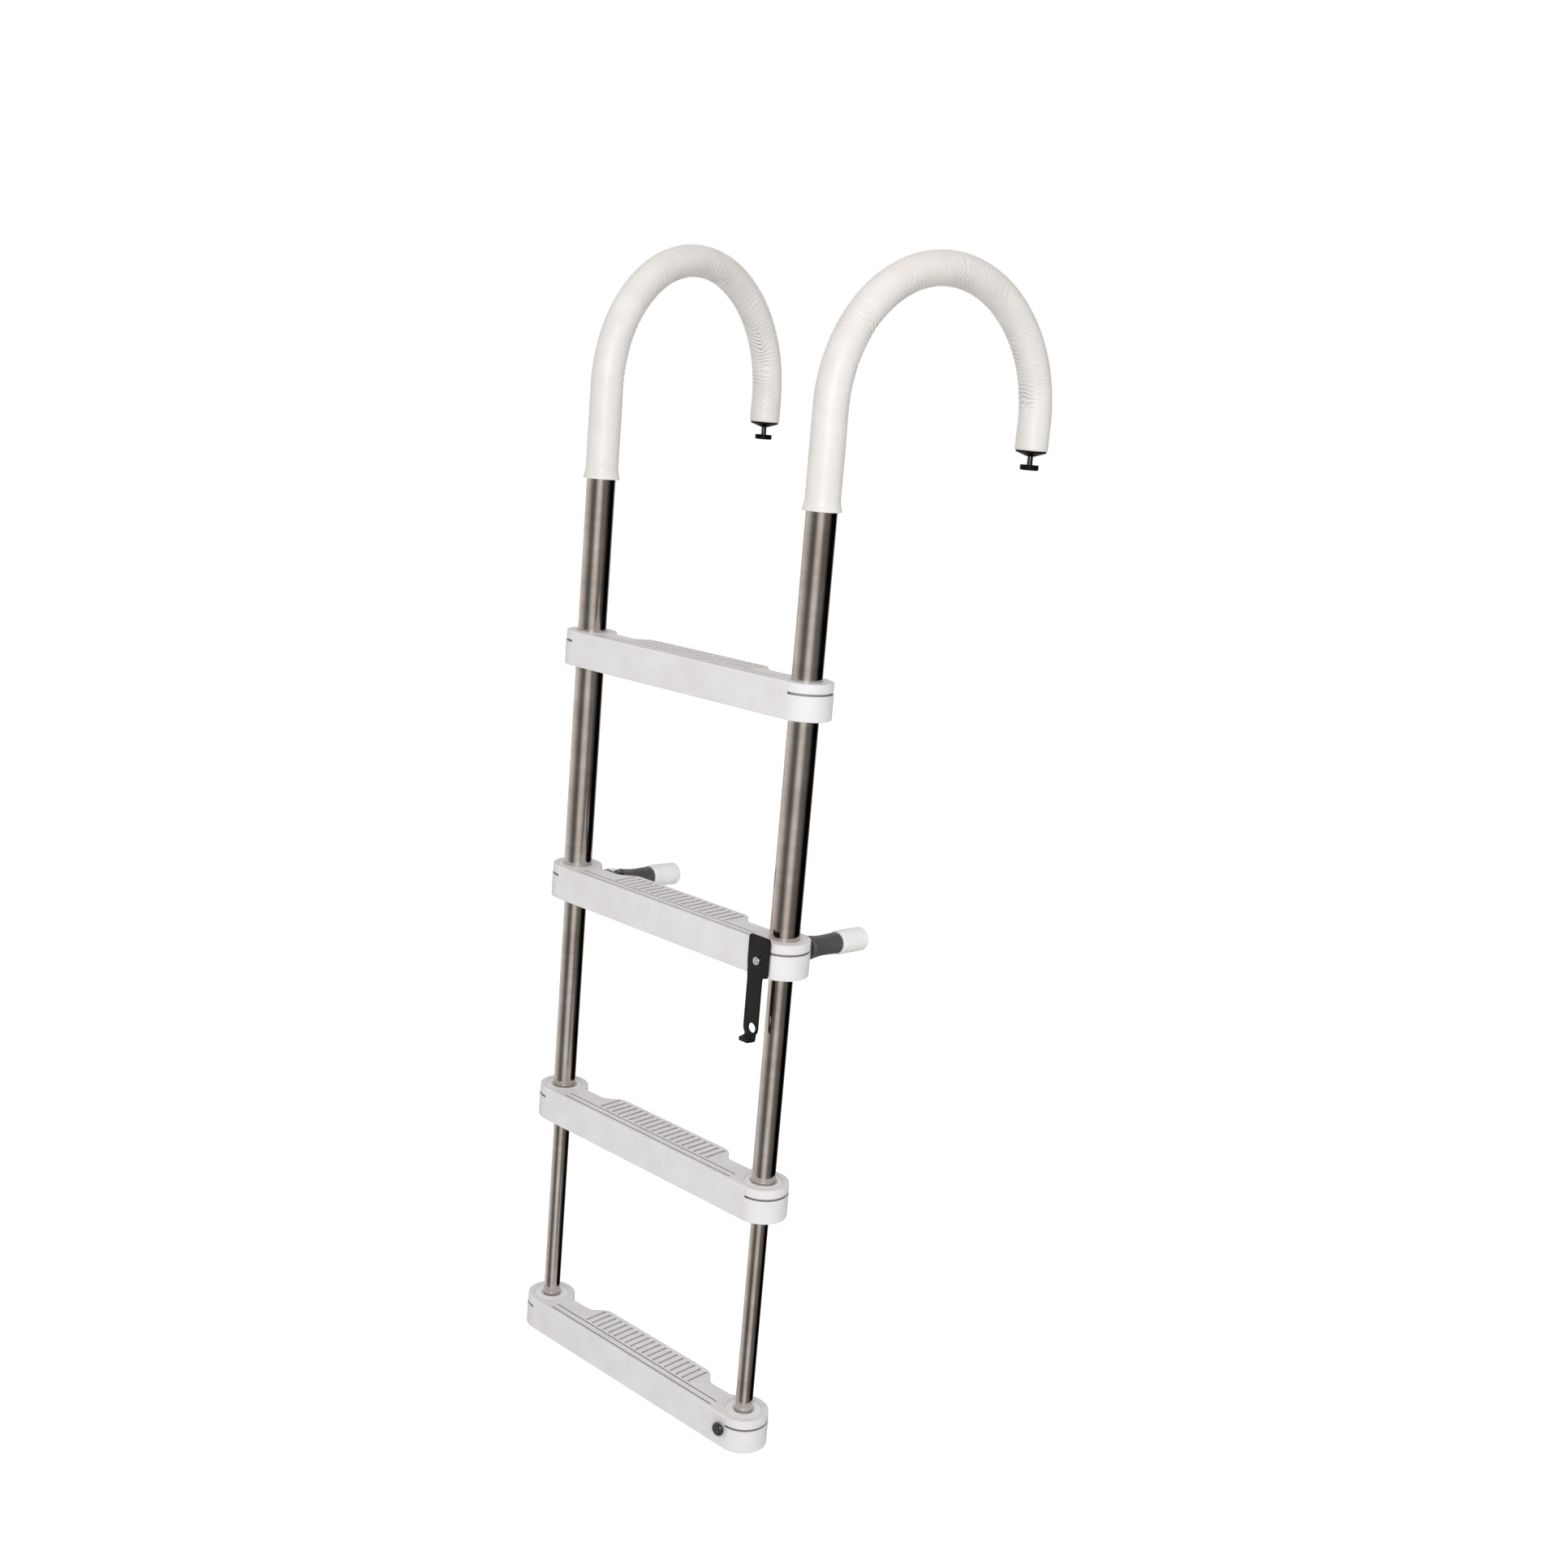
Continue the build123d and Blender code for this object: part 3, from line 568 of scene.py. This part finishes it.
def look_frame(azimuth, elevation, roll):
    """Axes of a camera that looks at the ladder from an azimuth and elevation, in degrees."""
    az, el, turn = radians(azimuth), radians(elevation), radians(roll)
    back = Vector((sin(az) * cos(el), -cos(az) * cos(el), sin(el)))
    right = Vector((cos(az), sin(az), 0))
    up = back.cross(right)
    return right * cos(turn) + up * sin(turn), up * cos(turn) - right * sin(turn), back


def add_camera():
    """Camera where the photo was taken from."""
    data = bpy.data.cameras.new("camera")
    data.lens = camera_lens
    data.sensor_width = camera_sensor
    camera = bpy.data.objects.new("camera", data)
    bpy.context.scene.collection.objects.link(camera)
    turned = Matrix(look_frame(*camera_angles)).transposed().to_4x4()
    camera.matrix_world = Matrix.Translation(camera_place) @ turned
    bpy.context.scene.camera = camera


def add_floor():
    """Glowing pale floor below the hanging ladder. The metal doesn't mirror it, and it lights nothing."""
    builder = bmesh.new()
    bmesh.ops.create_grid(builder, x_segments=8, y_segments=8, size=floor_size)
    floor = new_piece("floor", builder)
    floor.location.z = cad_box[0][2] - floor_drop
    material, tree, shader = new_material(
        "pale_floor", Roughness=0.9, Specular_IOR_Level=0.1,
        Emission_Color=white, Emission_Strength=floor_glow,
    )
    tone = ramp(tree, noise_field(tree, 0.4), (0.3, 0.84), (0.7, 0.86))
    tree.links.new(tone, shader.inputs["Base Color"])
    floor.data.materials.append(material)
    floor.visible_glossy = False
    floor.visible_diffuse = False


def add_world():
    """White studio: glossy rays see panels round the compass, and diffuse rays see a soft sky."""
    world = bpy.data.worlds.new("studio")
    bpy.context.scene.world = world
    world.use_nodes = True
    tree = world.node_tree
    background = tree.nodes["Background"]
    place = tree.nodes.new("ShaderNodeTexCoord")
    split = tree.nodes.new("ShaderNodeSeparateXYZ")
    tree.links.new(place.outputs["Generated"], split.inputs[0])
    heading = combine(tree, "ARCTAN2", split.outputs["Y"], split.outputs["X"])
    # share of a turn, counted from the heading of about -45 degrees that the ladder is seen from
    share = combine(tree, "FRACT", combine(tree, "ADD", combine(tree, "DIVIDE", heading, 2 * pi), 1.125), 0)

    def grey(value):
        return tuple(value * c for c in panel_tint)

    panels = ramp(
        tree, share,
        (0.00, grey(0.80)), (0.030, grey(0.66)), (0.065, grey(0.27)), (0.105, grey(0.17)),
        (0.165, grey(0.13)), (0.195, grey(0.05)), (0.22, grey(0.001)), (0.365, grey(0.001)),
        (0.40, grey(0.35)), (0.46, grey(0.85)), (0.64, grey(0.85)), (0.70, grey(0.72)),
        (0.765, grey(0.50)), (0.825, grey(0.20)), (0.875, grey(0.12)), (0.915, grey(0.26)),
        (0.955, grey(0.68)), (1.0, grey(0.80)),
    )
    # the soft sky is brightest on the usual view's side, and fills in from straight behind it
    facing = tree.nodes.new("ShaderNodeVectorMath")
    facing.operation = "DOT_PRODUCT"
    facing.inputs[1].default_value = sky_axis.normalized()
    tree.links.new(place.outputs["Generated"], facing.inputs[0])
    sky = ramp(
        tree, combine(tree, "ADD", scaled(tree, facing.outputs["Value"], 0.5), 0.5),
        (0.0, 1.0), (0.34, 0.34), (0.5, 0.60), (1.0, 1.0),
    )
    path = tree.nodes.new("ShaderNodeLightPath")
    seen = blend_colours(tree, path.outputs["Is Glossy Ray"], sky, panels)
    final = blend_colours(tree, path.outputs["Is Camera Ray"], seen, white)
    tree.links.new(final, background.inputs["Color"])
    background.inputs["Strength"].default_value = 1.0


def add_key_light():
    """Square softbox on the camera's side."""
    data = bpy.data.lights.new("key", "AREA")
    data.shape = "SQUARE"
    data.size = key_size
    data.energy = key_power
    light = bpy.data.objects.new("key", data)
    bpy.context.scene.collection.objects.link(light)
    light.location = key_place
    light.rotation_euler = (light_target - key_place).to_track_quat("-Z", "Y").to_euler()


add_floor()
add_world()
add_key_light()
add_camera()
bpy.context.scene.view_settings.view_transform = "Standard"
